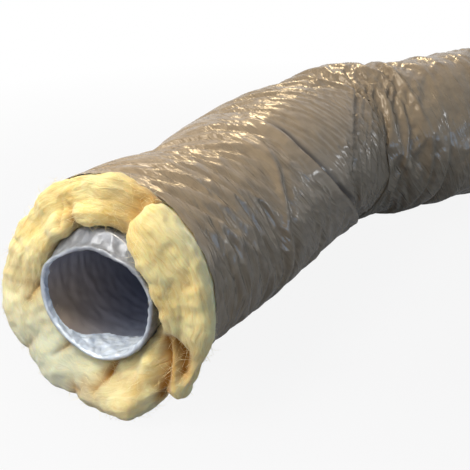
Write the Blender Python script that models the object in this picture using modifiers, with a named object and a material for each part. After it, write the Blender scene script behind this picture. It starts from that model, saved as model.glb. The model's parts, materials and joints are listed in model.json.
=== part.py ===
"""A cut length of insulated flexible air duct, kinked once and lying on a floor.

Metres, +Z up. The front mouth faces -Y, the run behind the kink turns towards +X, and the origin
is under the middle of the duct, on the floor.
"""

import math

import bmesh
import bpy
from mathutils import Vector

# Inner core: two film plies with a spring wire helix between them
BORE_DIAMETER = 0.127
PLY_THICKNESS = 0.0003
WIRE_DIAMETER = 0.0012
WIRE_PITCH = 0.040
WIRE_END_MARGIN = 0.008
CORE_OVERHANG = 0.038

# Glass wool blanket, one mat wrapped round the core and butted along one joint
WOOL_THICKNESS = 0.048
WOOL_OVERHANG = 0.032
WOOL_FLARE = 0.012
WOOL_JOINT_ANGLE = math.radians(54)
WOOL_JOINT_GAP = 0.002
WOOL_ROUNDING = 0.024
WOOL_FOLD_ANGLES = [math.radians(degrees) for degrees in (117, 171, 243, 279, 297)]
WOOL_FOLD_DEPTH = 0.018
WOOL_FOLD_WIDTH = math.radians(13)

# Jacket: a loose film sleeve with its kink, pleats and dents
JACKET_THICKNESS = 0.0003
DENT_DEPTH = 0.008
DENT_SPREAD = 0.055
BUCKLE_HEIGHT = 0.0040
BUCKLE_WIDTH = 0.016
LIP_HEIGHT = 0.007
PANEL_RECESS = 0.009
LIP_WIDTH = 0.016
CREASE_HEIGHT = 0.004
PLEAT_HEIGHT = 0.0045
FAR_PLEATS = 5

# Centreline, as successive lengths from the front edge of the jacket
MOUTH_TO_DENT = 0.150
DENT_TO_BUCKLE = 0.045
BUCKLE_TO_LIP = 0.070
LIP_TO_BEND = 0.251
BEND_ANGLE = math.radians(34)
BEND_INNER_RADIUS = 0.010
BEND_TO_REAR = 0.390
END_RUN = 0.300
ARCH_HEIGHT = 0.0115
ARCH_BEFORE_BEND = 0.160
ARCH_SPREAD = 0.100

# The diagonal lip runs back towards the inside of the bend, low on that side
LIP_LEAN = 0.180
LIP_LOW_ANGLE = math.radians(-72)
LIP_LEAN_POWER = 3
LIP_MIDDLE_ANGLE = math.radians(35)
BUCKLE_MIDDLE_ANGLE = math.radians(15)

# The soft underside is pressed flat where it lies on the floor
FLOOR_PRESS = 0.0005

CLEARANCE = 0.0003
CORE_SIDES = 20
SLEEVE_SIDES = 20
BEND_STEPS = 4

# Radii that follow from the layers
INNER_PLY_RADIUS = BORE_DIAMETER / 2 + PLY_THICKNESS
WIRE_RADIUS = INNER_PLY_RADIUS + CLEARANCE + WIRE_DIAMETER / 2
OUTER_PLY_RADIUS = WIRE_RADIUS + WIRE_DIAMETER / 2 + CLEARANCE + PLY_THICKNESS
WOOL_INNER_RADIUS = (OUTER_PLY_RADIUS + CLEARANCE) / math.cos(math.pi / SLEEVE_SIDES)
JACKET_INNER_RADIUS = OUTER_PLY_RADIUS + CLEARANCE + WOOL_THICKNESS + CLEARANCE
JACKET_RADIUS = JACKET_INNER_RADIUS + JACKET_THICKNESS
WOOL_INSET = JACKET_THICKNESS + 4 * CLEARANCE
FLOOR_LEVEL = JACKET_RADIUS * (1 - math.cos(math.pi / SLEEVE_SIDES)) + FLOOR_PRESS

# Places along the centreline
DENT_PLACE = MOUTH_TO_DENT
BUCKLE_PLACE = DENT_PLACE + DENT_TO_BUCKLE
LIP_PLACE = BUCKLE_PLACE + BUCKLE_TO_LIP
CREASE_PLACE = LIP_PLACE + 0.4 * LIP_TO_BEND
BEND_START = LIP_PLACE + LIP_TO_BEND
BEND_RADIUS = JACKET_RADIUS + BEND_INNER_RADIUS
BEND_END = BEND_START + BEND_RADIUS * BEND_ANGLE
JACKET_LENGTH = BEND_END + BEND_TO_REAR


def smooth(value):
    """A step from 0 to 1 with level ends."""
    value = min(max(value, 0.0), 1.0)
    return value * value * (3 - 2 * value)


def bump(distance, spread):
    return math.exp(-((distance / spread) ** 2))


def axis_height(along):
    """The swollen wool props both ends up, and the duct arches a little before its kink."""
    ends = 2 - smooth(along / END_RUN) - smooth((JACKET_LENGTH - along) / END_RUN)
    arch = ARCH_HEIGHT * bump(along - BEND_START + ARCH_BEFORE_BEND, ARCH_SPREAD)
    return JACKET_RADIUS + WOOL_FLARE * ends + arch


def axis_point(along):
    turned = min(max((along - BEND_START) / BEND_RADIUS, 0.0), BEND_ANGLE)
    near = min(along, BEND_START)
    far = max(along - BEND_END, 0.0)
    across = BEND_RADIUS * (1 - math.cos(turned)) + far * math.sin(BEND_ANGLE)
    ahead = near + BEND_RADIUS * math.sin(turned) + far * math.cos(BEND_ANGLE)
    return Vector((across, ahead, axis_height(along)))


def sleeve_stations():
    """Lengths at which the jacket has a ring: its edges, dents, pleats and the steps of the bend."""
    places = [0.0, DENT_PLACE]
    places += [BUCKLE_PLACE, BUCKLE_PLACE + BUCKLE_WIDTH]
    places += [LIP_PLACE, LIP_PLACE + LIP_WIDTH]
    places += [CREASE_PLACE]
    bend = BEND_END - BEND_START
    places += [BEND_START + bend * step / BEND_STEPS for step in range(BEND_STEPS + 1)]
    steps = 2 * FAR_PLEATS
    places += [BEND_END + BEND_TO_REAR * step / steps for step in range(1, steps + 1)]
    return places


STATIONS = sleeve_stations()
CORE_STATIONS = [-CORE_OVERHANG] + STATIONS + [JACKET_LENGTH + CORE_OVERHANG]


def ring_frames(stations):
    """Centre, side and up of the ring at each station, square to the centreline there."""
    centres = [axis_point(along) for along in stations]
    steps = [(after - before).normalized() for before, after in zip(centres, centres[1:])]
    frames = []
    for centre, before, after in zip(centres, steps[:1] + steps, steps + steps[-1:]):
        ahead = (before + after).normalized()
        side = ahead.cross(Vector((0, 0, 1))).normalized()
        frames.append((centre, side, side.cross(ahead)))
    return frames


CORE_FRAMES = ring_frames(CORE_STATIONS)
FRONT_END = CORE_FRAMES[0]
REAR_END = CORE_FRAMES[-1]


def ring_point(frame, angle, radius):
    centre, side, up = frame
    return centre + radius * (math.cos(angle) * side + math.sin(angle) * up)


def core_point(along, angle, radius):
    """A point on the faceted tube through the core's rings."""
    last = len(CORE_STATIONS) - 2
    index = min(sum(along >= station for station in CORE_STATIONS[1:]), last)
    start, end = CORE_STATIONS[index], CORE_STATIONS[index + 1]
    share = (along - start) / (end - start)
    before = ring_point(CORE_FRAMES[index], angle, radius)
    return before.lerp(ring_point(CORE_FRAMES[index + 1], angle, radius), share)


def material(name, colour, roughness, metallic):
    made = bpy.data.materials.new(name)
    made.use_nodes = True
    shader = made.node_tree.nodes["Principled BSDF"]
    shader.inputs["Base Color"].default_value = (*colour, 1)
    shader.inputs["Roughness"].default_value = roughness
    shader.inputs["Metallic"].default_value = metallic
    return made


def add_part(name, data, finish):
    made = bpy.data.objects.new(name, data)
    data.materials.append(finish)
    parts.objects.link(made)
    made.parent = root
    return made


def centreline_curve(name, points, radius, sides):
    """A tube along a chain of points, whose ring has one corner straight up."""
    curve = bpy.data.curves.new(name, "CURVE")
    curve.dimensions = "3D"
    curve.twist_mode = "Z_UP"
    curve.bevel_depth = radius
    curve.bevel_resolution = sides // 2 - 2
    spline = curve.splines.new("POLY")
    spline.points.add(len(points) - 1)
    for control, point in zip(spline.points, points):
        control.co = (*point, 1)
    return curve


def add_ply(name, radius, finish):
    """A film tube: an open tube along the centreline, thickened inwards."""
    centres = [centre for centre, side, up in CORE_FRAMES]
    ply = add_part(name, centreline_curve(name, centres, radius, CORE_SIDES), finish)
    wall = ply.modifiers.new("film", "SOLIDIFY")
    wall.thickness = PLY_THICKNESS
    wall.offset = -1
    wall.use_even_offset = True


def add_wire(name, finish):
    """The spring wire, one unbroken helix from end to end, with a corner over each corner of the plies."""
    first = WIRE_END_MARGIN - CORE_OVERHANG
    length = JACKET_LENGTH + 2 * (CORE_OVERHANG - WIRE_END_MARGIN)
    corners = int(length / WIRE_PITCH * CORE_SIDES)
    points = []
    for corner in range(corners + 1):
        along = first + corner * WIRE_PITCH / CORE_SIDES
        angle = 2 * math.pi * corner / CORE_SIDES
        points.append(core_point(along, angle, WIRE_RADIUS))
    curve = centreline_curve(name, points, WIRE_DIAMETER / 2, 4)
    curve.use_fill_caps = True
    add_part(name, curve, finish)
    turns = zip(points, points[CORE_SIDES:])
    gap = min((later - earlier).length for earlier, later in turns) - WIRE_DIAMETER
    print(f"{name}: least gap between turns {gap * 1000:.1f} mm")


def lean(angle):
    """1 where the lip lies furthest back, falling to 0 round the sleeve."""
    return ((1 + math.cos(angle - LIP_LOW_ANGLE)) / 2) ** LIP_LEAN_POWER


def leaning_station(along, angle):
    """The rings lean so that the diagonal lip and the taut panel behind it run along them."""
    if along <= BUCKLE_PLACE:
        share = 0.0
    elif along <= LIP_PLACE:
        share = (along - BUCKLE_PLACE) / BUCKLE_TO_LIP
    else:
        share = max(1 - (along - LIP_PLACE) / LIP_TO_BEND, 0.0)
    return along + min(LIP_LEAN, 0.8 * LIP_TO_BEND) * share * lean(angle)


def sleeve_height(along, angle):
    """How far the jacket stands out from its plain radius, by ring and by angle."""
    top = 0.5 + 0.5 * math.sin(angle)
    height = -DENT_DEPTH * top * bump(along - DENT_PLACE, DENT_SPREAD)
    buckled = smooth(0.5 + math.cos(angle - BUCKLE_MIDDLE_ANGLE))
    folded = smooth(0.6 + math.cos(angle - LIP_MIDDLE_ANGLE))
    crests = {
        BUCKLE_PLACE: BUCKLE_HEIGHT * buckled,
        BUCKLE_PLACE + BUCKLE_WIDTH: -BUCKLE_HEIGHT * buckled,
        LIP_PLACE: LIP_HEIGHT * folded,
        LIP_PLACE + LIP_WIDTH: -PANEL_RECESS * folded,
        CREASE_PLACE: CREASE_HEIGHT * folded,
    }
    height += crests.get(along, 0.0)
    if along > BEND_END:
        step = round((along - BEND_END) / BEND_TO_REAR * 2 * FAR_PLEATS)
        height -= PLEAT_HEIGHT * (step % 2)
    return height


def pressed_flat(point, inset):
    """The point, kept above the floor by the inset."""
    return Vector((point.x, point.y, max(point.z, FLOOR_LEVEL + inset)))


def sleeve_point(index, angle, inset):
    """A point on the jacket's outside, or that far inside it."""
    along = STATIONS[index]
    radius = JACKET_RADIUS + sleeve_height(along, angle) - inset
    return pressed_flat(core_point(leaning_station(along, angle), angle, radius), inset)


def sleeve_angles():
    """Ring corners placed so that a flat side, not a corner, meets the floor."""
    return [2 * math.pi * (side + 0.5) / SLEEVE_SIDES for side in range(SLEEVE_SIDES)]


def loft(name, rings, closed_ends):
    """A skin over rings of corners, each side split along its shorter diagonal so that skins nest."""
    shape = bmesh.new()
    corners = [[shape.verts.new(point) for point in ring] for ring in rings]
    for ring, after in zip(corners, corners[1:]):
        count = len(ring)
        for corner in range(count):
            beside = (corner + 1) % count
            shape.faces.new((ring[corner], ring[beside], after[beside], after[corner]))
    if closed_ends:
        for ring in (corners[0], corners[-1]):
            for corner in range(len(ring) // 2 - 1):
                across = len(ring) - 1 - corner
                shape.faces.new((ring[corner], ring[corner + 1], ring[across - 1], ring[across]))
    bmesh.ops.recalc_face_normals(shape, faces=shape.faces)
    bmesh.ops.triangulate(shape, faces=shape.faces, quad_method="SHORT_EDGE")
    mesh = bpy.data.meshes.new(name)
    shape.to_mesh(mesh)
    shape.free()
    mesh.shade_smooth()
    return mesh


def add_jacket(name, finish):
    """The film sleeve: an open skin over its rings, thickened inwards."""
    rings = []
    for index in range(len(STATIONS)):
        rings.append([sleeve_point(index, angle, 0.0) for angle in sleeve_angles()])
    jacket = add_part(name, loft(name, rings, closed_ends=False), finish)
    wall = jacket.modifiers.new("film", "SOLIDIFY")
    wall.thickness = JACKET_THICKNESS
    wall.offset = -1


def mat_angles():
    """Corner angles of the mat from one side of its joint round to the other."""
    start = WOOL_JOINT_ANGLE + WOOL_JOINT_GAP / (2 * JACKET_RADIUS)
    end = WOOL_JOINT_ANGLE + 2 * math.pi - WOOL_JOINT_GAP / (2 * JACKET_RADIUS)
    turns = sleeve_angles() + [angle + 2 * math.pi for angle in sleeve_angles()]
    return [start] + [angle for angle in turns if start < angle < end] + [end]


def on_side(angle, corner_point):
    """A point on the flat side of the ring that this angle falls on."""
    step = 2 * math.pi / SLEEVE_SIDES
    before = math.floor(angle / step - 0.5)
    start, end = (before + 0.5) * step, (before + 1.5) * step
    return corner_point(start).lerp(corner_point(end), (angle - start) / step)


def mat_ring(outer_point, inner_point):
    outer = [on_side(angle, outer_point) for angle in mat_angles()]
    inner = [on_side(angle, inner_point) for angle in mat_angles()]
    return outer + inner[::-1]


def fold_depth(angle):
    """How far the end of the mat is drawn in where it is folded against the core."""
    depth = 0.0
    for fold in WOOL_FOLD_ANGLES:
        away = math.remainder(angle - fold, 2 * math.pi)
        depth += bump(away, WOOL_FOLD_WIDTH)
    return WOOL_FOLD_DEPTH * min(depth, 1.0)


def end_rings(edge, outwards):
    """The end of the mat, swollen past the jacket and rounded like a pillow."""
    swollen = JACKET_RADIUS + WOOL_FLARE
    shoulder = WOOL_OVERHANG - WOOL_ROUNDING
    profile = [
        (shoulder, swollen, WOOL_INNER_RADIUS),
        (WOOL_OVERHANG - WOOL_ROUNDING / 3, swollen - WOOL_ROUNDING / 4, WOOL_INNER_RADIUS),
        (WOOL_OVERHANG, swollen - WOOL_ROUNDING, WOOL_INNER_RADIUS + WOOL_ROUNDING / 2),
    ]
    rings = []
    for out, outer_radius, inner_radius in profile:
        drawn = out / WOOL_OVERHANG

        def outer_point(angle):
            along = edge + outwards * (out - 0.4 * drawn * fold_depth(angle))
            return pressed_flat(core_point(along, angle, outer_radius), 0.0)

        def inner_point(angle):
            along = edge + outwards * (out - drawn * fold_depth(angle))
            return core_point(along, angle, inner_radius)

        rings.append(mat_ring(outer_point, inner_point))
    return rings


def add_wool(name, finish):
    """The mat: a ring with a joint through it, lofted from one swollen end to the other."""
    middle = []
    for index, along in enumerate(STATIONS):

        def outer_point(angle):
            return sleeve_point(index, angle, WOOL_INSET)

        def inner_point(angle):
            return core_point(along, angle, WOOL_INNER_RADIUS)

        middle.append(mat_ring(outer_point, inner_point))
    front = end_rings(0.0, -1)
    rear = end_rings(JACKET_LENGTH, 1)
    add_part(name, loft(name, front[::-1] + middle + rear, closed_ends=True), finish)


def stand_on_origin():
    """Moves the duct so that the origin is under the middle of its box, on the floor."""
    bpy.context.view_layer.update()
    graph = bpy.context.evaluated_depsgraph_get()
    points = []
    for part in parts.objects:
        if part.type != "EMPTY":
            shape = part.evaluated_get(graph).to_mesh()
            points += [part.matrix_world @ vertex.co for vertex in shape.vertices]
            part.evaluated_get(graph).to_mesh_clear()
    low = Vector([min(point[axis] for point in points) for axis in range(3)])
    high = Vector([max(point[axis] for point in points) for axis in range(3)])
    middle = (low + high) / 2
    root.location = (-middle.x, -middle.y, -FLOOR_LEVEL)
    print("mouth axis at", [round(value, 5) for value in FRONT_END[0] + root.location])
    print("rear axis at", [round(value, 5) for value in REAR_END[0] + root.location])


for existing in list(bpy.data.objects):
    bpy.data.objects.remove(existing, do_unlink=True)

parts = bpy.data.collections.new("flexible_air_duct")
bpy.context.scene.collection.children.link(parts)
root = bpy.data.objects.new("duct_root", None)
parts.objects.link(root)

silver_film = material("silver_film", (0.60, 0.61, 0.63), 0.30, 0.9)
foil_film = material("foil_film", (0.72, 0.73, 0.75), 0.25, 0.9)
spring_steel = material("spring_steel", (0.42, 0.41, 0.40), 0.35, 1.0)
glass_wool = material("glass_wool", (0.86, 0.72, 0.36), 0.95, 0.0)
taupe_film = material("taupe_film", (0.30, 0.26, 0.22), 0.28, 0.6)

add_ply("core_inner_ply", INNER_PLY_RADIUS, silver_film)
add_wire("core_wire_helix", spring_steel)
add_ply("core_outer_ply", OUTER_PLY_RADIUS, foil_film)
add_wool("wool_blanket", glass_wool)
add_jacket("jacket", taupe_film)
stand_on_origin()
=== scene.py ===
"""Looks of the insulated flexible air duct: core, glass wool blanket and wrinkled film jacket."""

import json
import math

import bmesh
import bpy
import numpy as np
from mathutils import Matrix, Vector, noise


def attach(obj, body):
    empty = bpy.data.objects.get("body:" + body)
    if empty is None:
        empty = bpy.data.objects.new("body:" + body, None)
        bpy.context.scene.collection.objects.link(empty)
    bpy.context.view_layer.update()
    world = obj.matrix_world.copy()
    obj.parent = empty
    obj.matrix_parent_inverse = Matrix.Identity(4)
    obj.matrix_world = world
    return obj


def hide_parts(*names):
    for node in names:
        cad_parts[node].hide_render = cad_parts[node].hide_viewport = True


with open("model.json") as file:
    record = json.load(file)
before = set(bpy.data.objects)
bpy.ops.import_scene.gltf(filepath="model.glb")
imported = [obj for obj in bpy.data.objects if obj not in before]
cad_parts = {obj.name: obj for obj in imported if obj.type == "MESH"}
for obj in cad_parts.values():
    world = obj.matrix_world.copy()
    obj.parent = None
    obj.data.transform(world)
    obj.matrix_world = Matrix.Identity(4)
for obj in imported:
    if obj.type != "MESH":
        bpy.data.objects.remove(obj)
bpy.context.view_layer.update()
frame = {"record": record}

# Inner ply of the core: the film tube that the air runs in, a metallised laminate wound on a
# mandrel with the spring wire behind it. The film is drawn back between the turns, so that the
# wire shows from inside as a helix of low ridges.
PLY_RADIUS = 0.0638
PLY_THICKNESS = 0.0003
RIM_RADIUS = PLY_RADIUS - PLY_THICKNESS / 2
CORE_OVERHANG = 0.038
WIRE_PITCH = 0.040
WIRE_START = -0.030
RIDGE_WIDTH = 0.003
RIDGE_HEIGHT = 0.0009
BEND_RADIUS = 0.1248
END_RISE = 0.012
END_RUN = 0.300
ARCH_RISE = 0.0115
ARCH_PLACE = 0.356
ARCH_SPREAD = 0.100
PLY_SET_BACK = 0.001
PLY_CRINKLE = 0.0016
WARM_REFLECTION_AT = -150
WARM_REFLECTION_ROUND = 0.75
WARM_REFLECTION_DEEP = 0.11
PLY_ROUND = 150
PLY_LENGTHWISE = 400
SEAM_GAP = 0.00002

mounts = {mount["name"]: mount for mount in frame["record"]["mounts"]}
front_rim = Vector(mounts["front_rim"]["pos_m"])
rear_rim = Vector(mounts["rear_rim"]["pos_m"])
rear_out = Vector(mounts["rear_rim"]["axis"])
bend_angle = math.atan2(rear_out.x, rear_out.y)
mouth = front_rim - Vector((RIM_RADIUS, 0, 0))
rear = rear_rim - RIM_RADIUS * Vector((rear_out.y, -rear_out.x, 0))
corner_to_rear = (rear.x - mouth.x) / math.sin(bend_angle)
bend_tangent = BEND_RADIUS * math.tan(bend_angle / 2)
front_edge_y = mouth.y + CORE_OVERHANG
bend_start = rear.y - corner_to_rear * math.cos(bend_angle) - bend_tangent - front_edge_y
bend_end = bend_start + BEND_RADIUS * bend_angle
jacket_length = bend_end + corner_to_rear - bend_tangent - CORE_OVERHANG


def smooth_step(share):
    share = np.clip(share, 0.0, 1.0)
    return share * share * (3 - 2 * share)


def swell(distance, spread):
    """A soft bump, 1 in the middle."""
    return np.exp(-((distance / spread) ** 2))


def turn_from(angle, degrees):
    """The shortest turn from an angle given in degrees."""
    return np.angle(np.exp(1j * (angle - math.radians(degrees))))


def duct_axis(along, spare=0.0):
    """Centre and sideways direction of the duct at lengths from the jacket's front edge.

    The spare share draws the duct out longer along the same route."""
    turned = np.clip((along - bend_start) / BEND_RADIUS, 0.0, bend_angle)
    near = np.minimum(along, bend_start)
    far = np.maximum(along - bend_end, 0.0)
    across = BEND_RADIUS * (1 - np.cos(turned)) + far * math.sin(bend_angle)
    ahead = near + BEND_RADIUS * np.sin(turned) + far * math.cos(bend_angle)
    ends = 1 - smooth_step(along / END_RUN) - smooth_step((jacket_length - along) / END_RUN)
    arch = ARCH_RISE * swell(along - ARCH_PLACE, ARCH_SPREAD)
    height = mouth.z + END_RISE * ends + arch
    longer = 1 + spare
    centre = np.stack([mouth.x + across * longer, front_edge_y + ahead * longer, height], -1)
    side = np.stack([np.cos(turned), -np.sin(turned), np.zeros_like(turned)], -1)
    return centre, side


def on_duct(along, angle, radius, spare=0.0):
    """Points round the duct: angle 0 is on the inside of the kink, a right angle is on top."""
    centre, side = duct_axis(along, spare)
    outward = side * np.cos(angle)[..., None] + np.array([0, 0, 1]) * np.sin(angle)[..., None]
    return centre + outward * np.asarray(radius)[..., None]


def rolled_sheet(name, squares_round, squares_along):
    """A flat sheet of squares with its own map, and each corner's share round and along it."""
    sheet = bmesh.new()
    sheet.loops.layers.uv.new("sheet")
    bmesh.ops.create_grid(
        sheet, x_segments=squares_round, y_segments=squares_along, size=0.5, calc_uvs=True
    )
    mesh = bpy.data.meshes.new(name)
    sheet.to_mesh(mesh)
    sheet.free()
    shares = get_points(mesh) + 0.5
    return mesh, shares[:, 0], shares[:, 1]


def get_points(mesh):
    flat = np.empty(len(mesh.vertices) * 3)
    mesh.vertices.foreach_get("co", flat)
    return flat.reshape(-1, 3)


def set_points(mesh, points):
    mesh.vertices.foreach_set("co", np.asarray(points, np.float32).ravel())
    mesh.update()


def mark(mesh, name, values):
    """Keeps a value at each point of a mesh, for its finish to read."""
    kept = mesh.attributes.new(name, "FLOAT", "POINT")
    kept.data.foreach_set("value", np.asarray(values, np.float32))


def close_seam(mesh):
    """Joins the edges of a sheet that meet once it is rolled up, and turns its faces outwards."""
    shape = bmesh.new()
    shape.from_mesh(mesh)
    bmesh.ops.remove_doubles(shape, verts=shape.verts, dist=SEAM_GAP)
    bmesh.ops.recalc_face_normals(shape, faces=shape.faces)
    shape.to_mesh(mesh)
    shape.free()
    mesh.shade_smooth()


def fit_piece(name, mesh, finish, replaced):
    """Puts a made mesh on the duct in place of its plain solid."""
    piece = bpy.data.objects.new(name, mesh)
    bpy.context.scene.collection.objects.link(piece)
    mesh.materials.clear()
    mesh.materials.append(finish)
    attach(piece, "root")
    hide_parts(replaced)
    return piece


def ruffle(points, sizes, seed):
    """Seeded noise at each point, stretched by the given sizes."""
    shift = 10.0 * seed
    scaled = points / np.asarray(sizes) + shift
    return np.array([noise.noise(Vector(place)) for place in scaled])


def crumple(points, coarse, fine, fine_share, seed):
    """Coarse noise with a share of fine noise on it."""
    return ruffle(points, coarse, seed) + fine_share * ruffle(points, fine, seed + 1)


def wire_distance(along, angle):
    """Distance along the duct to the nearest turn of the wire."""
    turns = (along - WIRE_START) / WIRE_PITCH - angle / (2 * math.pi)
    return (turns - np.round(turns)) * WIRE_PITCH


def new_finish(name):
    finish = bpy.data.materials.new(name)
    finish.use_nodes = True
    return finish, finish.node_tree, finish.node_tree.nodes["Principled BSDF"]


def add_node(tree, kind, settings=None, **inputs):
    """A shader node whose inputs take either a value or another node's output."""
    made = tree.nodes.new("ShaderNode" + kind)
    for name, value in (settings or {}).items():
        setattr(made, name, value)
    set_inputs(tree, made, **inputs)
    return made


def set_inputs(tree, made, **inputs):
    for name, value in inputs.items():
        plug(tree, made.inputs[name.replace("_", " ")], value)


def plug(tree, socket, value):
    """Links another node's output to a socket, or sets the socket's own value."""
    if isinstance(value, bpy.types.NodeSocket):
        tree.links.new(value, socket)
    else:
        socket.default_value = value


def ramp(tree, factor, stops):
    """A colour that follows a factor through a few stops."""
    made = add_node(tree, "ValToRGB", Fac=factor)
    elements = made.color_ramp.elements
    while len(elements) < len(stops):
        elements.new(0.5)
    for element, (place, colour) in zip(elements, stops):
        element.position = place
        element.color = (*colour, 1)
    return made.outputs["Color"]


def marked(tree, name):
    """The value that a mesh keeps at each point under this name."""
    return add_node(tree, "Attribute", {"attribute_name": name}).outputs["Fac"]


def blend_colours(tree, share, first, second):
    """The first colour, going over to the second with the share."""
    mix = add_node(tree, "Mix", {"data_type": "RGBA"}, Factor=share)
    set_inputs(tree, mix, A=first, B=second)
    return mix.outputs["Result"]


def bumped(tree, height, strength, distance, under=None):
    """A bumpy surface, on top of another one if there is one."""
    made = add_node(tree, "Bump", Height=height, Strength=strength, Distance=distance)
    if under is not None:
        tree.links.new(under, made.inputs["Normal"])
    return made.outputs["Normal"]


def round_duct(pairs, spread=8):
    """A value that changes smoothly round the duct, from a few angles in degrees where it is set."""
    degrees, values = zip(*sorted((degrees % 360, value) for degrees, value in pairs))
    whole = np.arange(360)
    plain = np.interp(whole, degrees, values, period=360)
    window = np.hanning(2 * spread + 3)
    wrapped = np.concatenate([plain[-spread - 1:], plain, plain[:spread + 1]])
    eased = np.convolve(wrapped, window / window.sum(), "valid")
    return lambda angle: np.interp(np.degrees(angle) % 360, whole, eased, period=360)


# How far the limp collar is pressed in, by angle in degrees. The rear end counts back from the turn.
COLLAR_LENGTH = 0.020
COLLAR_PRESSED = round_duct([
    (-174, 0.001), (160, 0.003), (133, 0.012), (104, 0.013), (78, 0.011), (60, 0.010), (41, 0.002),
    (11, -0.003), (-7, 0.000), (-65, 0.000), (-91, -0.002), (-121, 0.000), (-148, -0.001),
])
CORE_REAR_TURN = 2.0


def collar(along, angle):
    """How far the limp ends of the core are pressed in at this place."""
    front = smooth_step(1 - (along + CORE_OVERHANG) / COLLAR_LENGTH)
    back = smooth_step(1 - (jacket_length + CORE_OVERHANG - along) / COLLAR_LENGTH)
    return COLLAR_PRESSED(angle) * front + COLLAR_PRESSED(CORE_REAR_TURN - angle) * back


ply_mesh, share_round, share_along = rolled_sheet("core_inner_ply", PLY_ROUND, PLY_LENGTHWISE)
ply_angle = 2 * math.pi * share_round - math.pi / 2
ply_length = jacket_length + 2 * CORE_OVERHANG - 2 * PLY_SET_BACK
ply_along = share_along * ply_length - CORE_OVERHANG + PLY_SET_BACK
ridge = swell(wire_distance(ply_along, ply_angle), RIDGE_WIDTH)
ply_radius = PLY_RADIUS + RIDGE_HEIGHT * (1 - ridge) - collar(ply_along, ply_angle)
plain = on_duct(ply_along, ply_angle, ply_radius)
crinkle = crumple(plain, 0.022, 0.009, 0.6, seed=1)
ply_radius -= PLY_CRINKLE * np.abs(crinkle) * (1 - 0.6 * ridge)
set_points(ply_mesh, on_duct(ply_along, ply_angle, ply_radius))
# Painted reflection: a warm brownish patch inside the ply, low on the left near the mouth, standing in for
# warm light reflected from the wool.
painted_warm_reflection = swell(turn_from(ply_angle, WARM_REFLECTION_AT), WARM_REFLECTION_ROUND)
painted_warm_reflection *= swell(ply_along + CORE_OVERHANG, WARM_REFLECTION_DEEP)
mark(ply_mesh, "painted_warm_reflection", painted_warm_reflection)
close_seam(ply_mesh)

silver_film, tree, shader = new_finish("silver_film")
coords = add_node(tree, "TexCoord")
metres = add_node(tree, "Mapping", Vector=coords.outputs["UV"], Scale=(0.4, 1.05, 1.0))
stretched = add_node(
    tree, "Mapping", Vector=metres.outputs["Vector"], Scale=(22.0, 60.0, 1.0), Rotation=(0, 0, 0.5)
)
wrinkles = add_node(
    tree, "TexNoise", {"noise_type": "RIDGED_MULTIFRACTAL"}, Vector=stretched.outputs["Vector"],
    Scale=1.0, Detail=3.0,
)
patches = add_node(tree, "TexNoise", Vector=metres.outputs["Vector"], Scale=28.0, Detail=3.0)
silver = ramp(tree, patches.outputs["Fac"], [(0.3, (0.37, 0.42, 0.55)), (0.7, (0.53, 0.58, 0.71))])
# The warm brown mixed in here is the painted reflection.
tint = blend_colours(tree, marked(tree, "painted_warm_reflection"), silver, (0.74, 0.58, 0.42, 1))
bump = bumped(tree, wrinkles.outputs["Fac"], 0.8, 0.003)
set_inputs(tree, shader, Base_Color=tint, Metallic=0.55, Roughness=0.38, Normal=bump)
fit_piece("inner_ply", ply_mesh, silver_film, "core_inner_ply")

# Spring wire: hard drawn steel wire wound as one unbroken helix between the two plies. It keeps
# the core round and springs it back to its length.
WIRE_DIAMETER = 0.0012
WIRE_RADIUS = 0.06530
WIRE_POINTS_PER_TURN = 40

wire_turns = (jacket_length - 2 * WIRE_START) / WIRE_PITCH
wire_share = np.linspace(0, 1, int(wire_turns * WIRE_POINTS_PER_TURN) + 1)
wire_along = WIRE_START + wire_share * wire_turns * WIRE_PITCH
wire_angle = 2 * math.pi * wire_share * wire_turns
wire_points = on_duct(wire_along, wire_angle, np.full_like(wire_along, WIRE_RADIUS))
wire_curve = bpy.data.curves.new("spring_wire", "CURVE")
wire_curve.dimensions = "3D"
wire_curve.bevel_depth = WIRE_DIAMETER / 2
wire_curve.bevel_resolution = 1
wire_curve.use_fill_caps = True
wire_line = wire_curve.splines.new("POLY")
wire_line.points.add(len(wire_points) - 1)
wire_line.points.foreach_set("co", np.c_[wire_points, np.ones(len(wire_points))].ravel())

spring_steel, tree, shader = new_finish("spring_steel")
coords = add_node(tree, "TexCoord")
drawn = add_node(tree, "TexNoise", Vector=coords.outputs["Object"], Scale=400.0, Detail=2.0)
steel = ramp(tree, drawn.outputs["Fac"], [(0.35, (0.30, 0.29, 0.28)), (0.7, (0.48, 0.47, 0.45))])
set_inputs(tree, shader, Base_Color=steel, Metallic=1.0, Roughness=0.34)
fit_piece("spring_wire", wire_curve, spring_steel, "core_wire_helix")

# Outer ply of the core: bright foil laminate bonded over the wire. At both cut ends it is turned
# in over the rim, a little all round and as a wide crumpled cuff at the bottom of the mouth.
FOIL_RADIUS = 0.0663
FOIL_SAG = 0.0006
TURN_RADIUS = 0.0019
CUFF_CRINKLE = 0.0026
FOIL_CRINKLE = 0.0013
CUFF_DEPTH = round_duct([
    (180, 0.006), (-150, 0.006), (-130, 0.007), (-116, 0.016), (-104, 0.036), (-80, 0.045),
    (-62, 0.040), (-48, 0.022), (-38, 0.011), (-15, 0.008), (60, 0.006),
])
# Painted light: how much brighter the turned-in foil is painted than the outside, by angle, most round the
# bottom and left of the mouth and least at the top, where the rim lies in shade. The brightness is partly
# the turned-in foil's own colour and partly painted light.
CUFF_PAINTED_LIGHT = round_duct([(30, 0.15), (100, 0.2), (118, 0.6), (138, 1.0), (-20, 1.0), (8, 0.5)])
FOIL_ROUND = 200
FOIL_LENGTHWISE = 360
CUFF_ROWS = 24
TURN_ROWS = 6

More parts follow.
